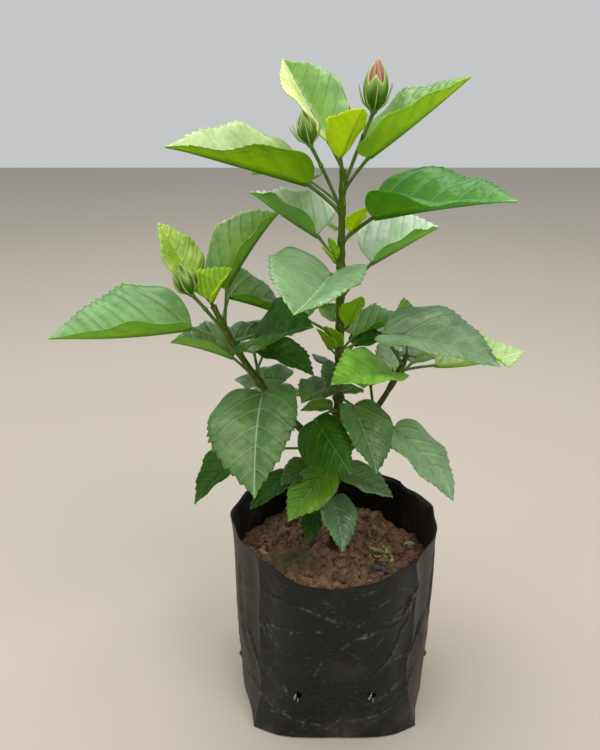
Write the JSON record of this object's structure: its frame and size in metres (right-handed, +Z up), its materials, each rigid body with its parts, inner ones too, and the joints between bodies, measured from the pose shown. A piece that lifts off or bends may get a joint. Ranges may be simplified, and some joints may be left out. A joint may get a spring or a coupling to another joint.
{
  "type": "potted hibiscus shrub",
  "caption": "Young hibiscus shrub with toothed green leaves and flower buds, growing in a soft black nursery bag filled with soil.",
  "frame": {"origin": "centre of the flat underside of the bag, where it stands on the ground", "axes": "+Z up along the stem, +X to the right as the plant is seen in the picture, +Y away from the viewer"},
  "size_m": [0.291, 0.1869, 0.4309],
  "materials": {
    "bag": "thin black polythene film, soft sheen",
    "soil": "damp crumbly potting soil",
    "bark": "green young bark, brown near the soil",
    "leaf": "smooth green leaf, soft sheen",
    "young_leaf": "bright young leaf, soft sheen"
  },
  "bodies": {
    "root": {"grow_bag": "bag", "soil": "soil", "trunk": "bark", "left_bough": "bark", "right_bough": "bark", "tip_spray": "leaf", "upper_right_bud_spray": "leaf", "upper_left_bud_spray": "leaf", "upper_right_spray": "leaf", "back_left_spray": "leaf", "young_left_spray": "young_leaf", "front_spray": "leaf", "back_right_spray": "leaf", "young_back_spray": "young_leaf", "young_right_spray": "young_leaf", "middle_right_spray": "leaf", "middle_left_spray": "young_leaf", "middle_front_spray": "young_leaf", "low_left_spray": "leaf", "low_right_spray": "leaf", "low_back_right_spray": "young_leaf", "low_young_spray": "young_leaf", "low_front_spray": "leaf", "foot_right_spray": "leaf", "foot_left_spray": "leaf", "foot_right_low_spray": "leaf", "foot_left_low_spray": "leaf", "foot_front_spray": "leaf", "foot_young_spray": "young_leaf", "left_foot_spray": "leaf", "left_front_spray": "leaf", "left_back_low_spray": "leaf", "left_inner_low_spray": "leaf", "left_outer_low_spray": "leaf", "left_inner_spray": "leaf", "left_outer_bud_spray": "leaf", "left_back_spray": "leaf", "left_upper_spray": "leaf", "left_behind_spray": "leaf", "left_tip_spray": "young_leaf", "right_behind_spray": "leaf", "right_inner_spray": "leaf", "right_outer_spray": "leaf", "right_large_spray": "leaf", "right_tip_spray": "young_leaf", "rear_spray_1": "leaf", "rear_spray_2": "leaf", "rear_spray_3": "leaf", "rear_spray_4": "leaf", "rear_spray_5": "leaf", "rear_spray_6": "leaf", "rear_spray_7": "leaf", "rear_spray_8": "leaf", "rear_spray_9": "leaf", "rear_spray_10": "leaf", "rear_spray_11": "leaf", "rear_spray_12": "leaf", "rear_spray_13": "leaf"}
  },
  "joints": []
}
